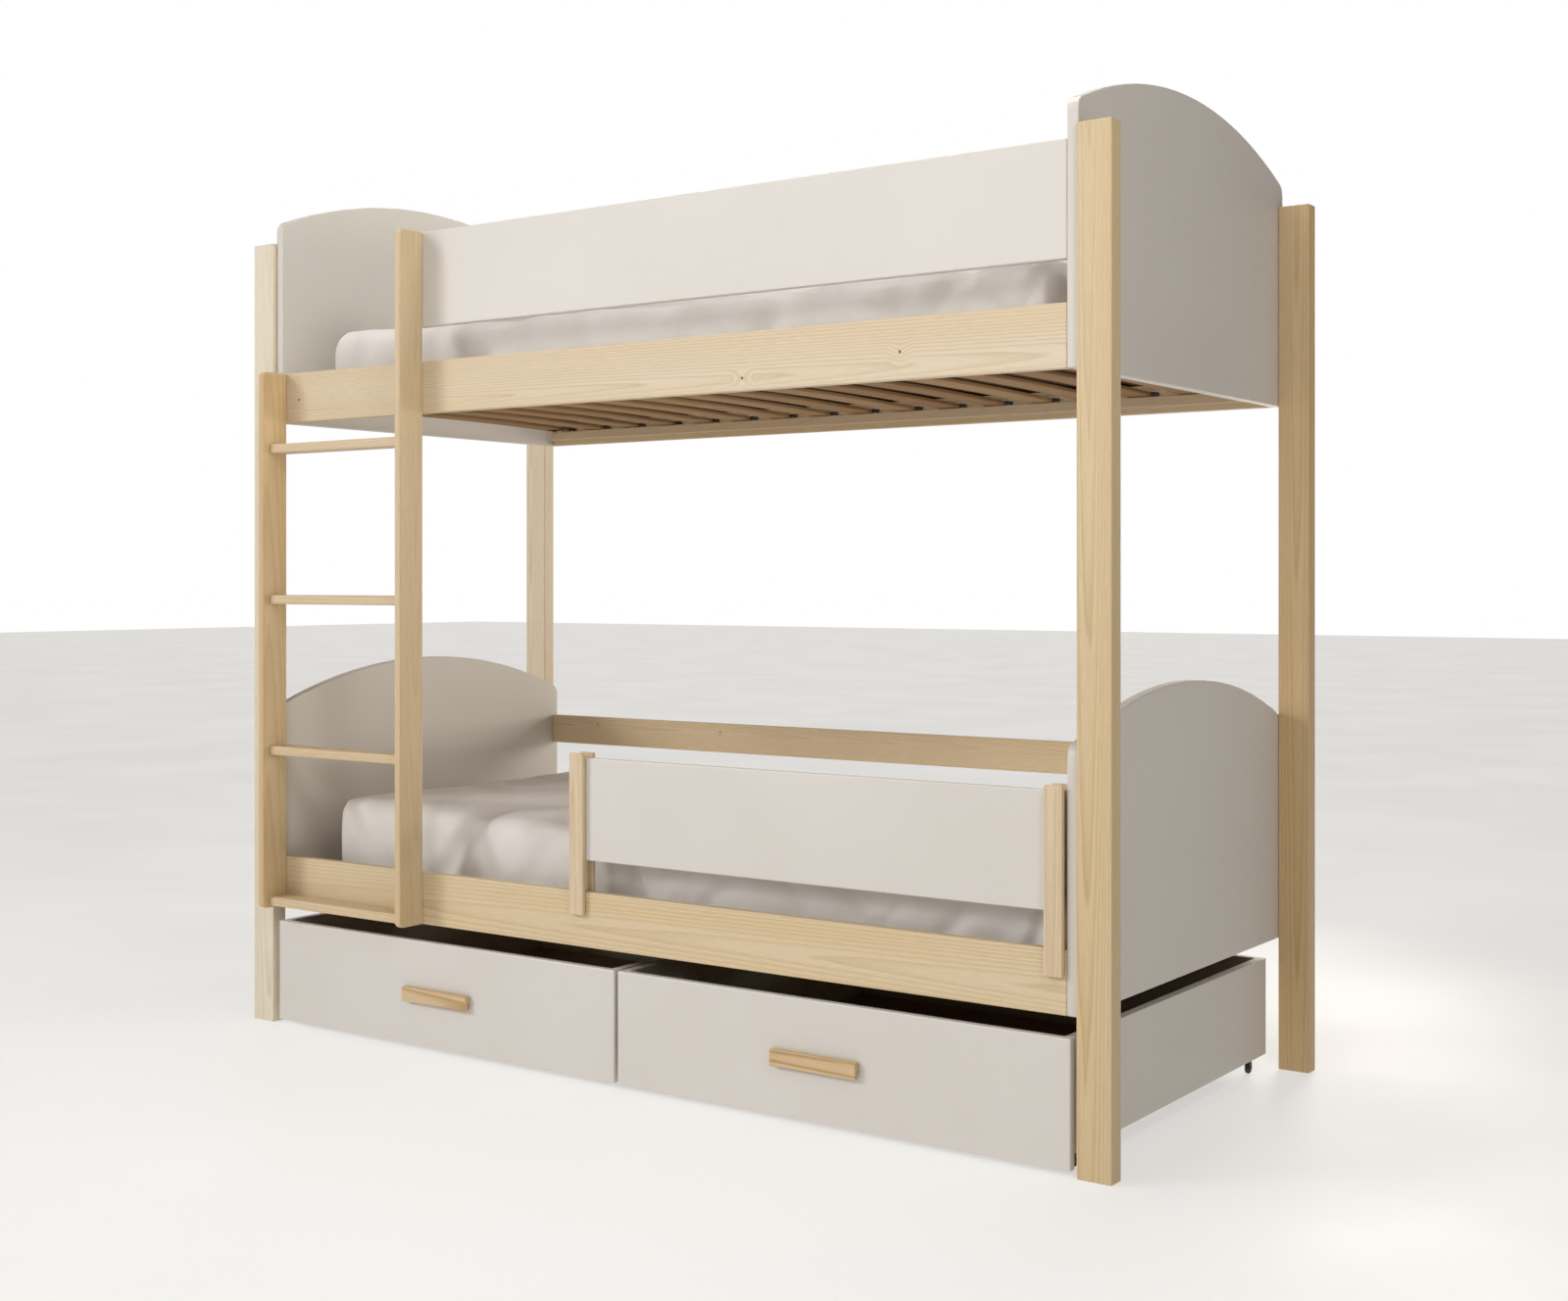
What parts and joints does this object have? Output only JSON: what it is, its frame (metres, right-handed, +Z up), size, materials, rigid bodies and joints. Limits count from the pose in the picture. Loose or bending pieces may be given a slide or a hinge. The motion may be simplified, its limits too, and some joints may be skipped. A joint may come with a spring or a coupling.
{
  "type": "bunk bed with ladder",
  "caption": "Pine bunk bed with painted arched end panels, fixed ladder, slatted bases, mattresses, a lift-off guard and rolling under-bed drawers.",
  "frame": {"origin": "on the floor, under the middle of the whole object's box", "axes": "+X along the bed to the right as seen from the front, -Y towards the ladder and drawer side, +Z up"},
  "size_m": [1.994, 0.9288, 1.7673],
  "materials": {
    "pine": "clear matte lacquer on solid pine",
    "panel_paint": "satin warm grey lacquer on fibreboard",
    "white_paint": "satin off-white lacquer on fibreboard",
    "slat_wood": "planed, unfinished",
    "cotton": "matte woven cotton cover",
    "hardboard": "matte dark hardboard",
    "black_steel": "black powder coat",
    "wheel_plastic": "matte black"
  },
  "bodies": {
    "frame": {"front_left_post": "pine", "front_right_post": "pine", "back_left_post": "pine", "back_right_post": "pine", "lower_front_rail": "pine", "lower_back_rail": "pine", "upper_front_rail": "pine", "upper_back_rail": "pine", "lower_front_ledger": "pine", "lower_back_ledger": "pine", "upper_front_ledger": "pine", "upper_back_ledger": "pine", "lower_back_fence": "pine", "ladder_left_rail": "pine", "ladder_right_rail": "pine", "ladder_rung_1": "pine", "ladder_rung_2": "pine", "ladder_rung_3": "pine", "ladder_rung_4": "pine", "lower_left_end_panel": "panel_paint", "lower_right_end_panel": "panel_paint", "upper_left_end_panel": "panel_paint", "upper_right_end_panel": "panel_paint", "upper_front_guard": "white_paint", "upper_back_guard": "white_paint", "upper_slat_base": "slat_wood", "lower_slat_base": "slat_wood"},
    "lift_guard": {"lift_guard_left_front_batten": "pine", "lift_guard_left_back_batten": "pine", "lift_guard_right_front_batten": "pine", "lift_guard_right_back_batten": "pine", "lift_guard_board": "white_paint"},
    "upper_mattress_body": {"upper_mattress": "cotton"},
    "lower_mattress_body": {"lower_mattress": "cotton"},
    "left_drawer": {"left_drawer_handle": "pine", "left_drawer_front": "white_paint", "left_drawer_left_side": "panel_paint", "left_drawer_right_side": "panel_paint", "left_drawer_back": "panel_paint", "left_drawer_floor": "hardboard", "left_drawer_left_wheel_strip": "black_steel", "left_drawer_right_wheel_strip": "black_steel"},
    "left_drawer_front_left_wheel_body": {"left_drawer_front_left_wheel": "wheel_plastic"},
    "left_drawer_front_right_wheel_body": {"left_drawer_front_right_wheel": "wheel_plastic"},
    "left_drawer_back_left_wheel_body": {"left_drawer_back_left_wheel": "wheel_plastic"},
    "left_drawer_back_right_wheel_body": {"left_drawer_back_right_wheel": "wheel_plastic"},
    "right_drawer": {"right_drawer_handle": "pine", "right_drawer_front": "white_paint", "right_drawer_left_side": "panel_paint", "right_drawer_right_side": "panel_paint", "right_drawer_back": "panel_paint", "right_drawer_floor": "hardboard", "right_drawer_left_wheel_strip": "black_steel", "right_drawer_right_wheel_strip": "black_steel"},
    "right_drawer_front_left_wheel_body": {"right_drawer_front_left_wheel": "wheel_plastic"},
    "right_drawer_front_right_wheel_body": {"right_drawer_front_right_wheel": "wheel_plastic"},
    "right_drawer_back_left_wheel_body": {"right_drawer_back_left_wheel": "wheel_plastic"},
    "right_drawer_back_right_wheel_body": {"right_drawer_back_right_wheel": "wheel_plastic"}
  },
  "joints": [
    {"name": "lift_guard_lift", "type": "slide", "parent": "frame", "child": "lift_guard", "axis": [0, 0, 1], "range_m": [0, 0.25]},
    {"name": "upper_mattress_lift", "type": "slide", "parent": "frame", "child": "upper_mattress_body", "axis": [0, 0, 1], "range_m": [0, 0.35]},
    {"name": "lower_mattress_lift", "type": "slide", "parent": "frame", "child": "lower_mattress_body", "axis": [0, 0, 1], "range_m": [0, 0.25]},
    {"name": "left_drawer_slide", "type": "slide", "parent": "frame", "child": "left_drawer", "axis": [0, -1, 0], "range_m": [0, 0.75]},
    {"name": "left_drawer_front_left_wheel_spin", "type": "hinge", "parent": "left_drawer", "child": "left_drawer_front_left_wheel_body", "pos_m": [-0.8932, -0.3506, 0.0123], "axis": [1, 0, 0], "continuous": true},
    {"name": "left_drawer_front_right_wheel_spin", "type": "hinge", "parent": "left_drawer", "child": "left_drawer_front_right_wheel_body", "pos_m": [-0.0233, -0.3506, 0.0123], "axis": [1, 0, 0], "continuous": true},
    {"name": "left_drawer_back_left_wheel_spin", "type": "hinge", "parent": "left_drawer", "child": "left_drawer_back_left_wheel_body", "pos_m": [-0.8932, 0.3674, 0.0123], "axis": [1, 0, 0], "continuous": true},
    {"name": "left_drawer_back_right_wheel_spin", "type": "hinge", "parent": "left_drawer", "child": "left_drawer_back_right_wheel_body", "pos_m": [-0.0233, 0.3674, 0.0123], "axis": [1, 0, 0], "continuous": true},
    {"name": "right_drawer_slide", "type": "slide", "parent": "frame", "child": "right_drawer", "axis": [0, -1, 0], "range_m": [0, 0.75]},
    {"name": "right_drawer_front_left_wheel_spin", "type": "hinge", "parent": "right_drawer", "child": "right_drawer_front_left_wheel_body", "pos_m": [0.0328, -0.3506, 0.0123], "axis": [1, 0, 0], "continuous": true},
    {"name": "right_drawer_front_right_wheel_spin", "type": "hinge", "parent": "right_drawer", "child": "right_drawer_front_right_wheel_body", "pos_m": [0.9027, -0.3506, 0.0123], "axis": [1, 0, 0], "continuous": true},
    {"name": "right_drawer_back_left_wheel_spin", "type": "hinge", "parent": "right_drawer", "child": "right_drawer_back_left_wheel_body", "pos_m": [0.0328, 0.3674, 0.0123], "axis": [1, 0, 0], "continuous": true},
    {"name": "right_drawer_back_right_wheel_spin", "type": "hinge", "parent": "right_drawer", "child": "right_drawer_back_right_wheel_body", "pos_m": [0.9027, 0.3674, 0.0123], "axis": [1, 0, 0], "continuous": true}
  ],
  "couplings": [
    {"joint": "left_drawer_front_left_wheel_spin", "follows": "left_drawer_slide", "rad_per_m": 83.333},
    {"joint": "left_drawer_front_right_wheel_spin", "follows": "left_drawer_slide", "rad_per_m": 83.333},
    {"joint": "left_drawer_back_left_wheel_spin", "follows": "left_drawer_slide", "rad_per_m": 83.333},
    {"joint": "left_drawer_back_right_wheel_spin", "follows": "left_drawer_slide", "rad_per_m": 83.333},
    {"joint": "right_drawer_front_left_wheel_spin", "follows": "right_drawer_slide", "rad_per_m": 83.333},
    {"joint": "right_drawer_front_right_wheel_spin", "follows": "right_drawer_slide", "rad_per_m": 83.333},
    {"joint": "right_drawer_back_left_wheel_spin", "follows": "right_drawer_slide", "rad_per_m": 83.333},
    {"joint": "right_drawer_back_right_wheel_spin", "follows": "right_drawer_slide", "rad_per_m": 83.333}
  ]
}
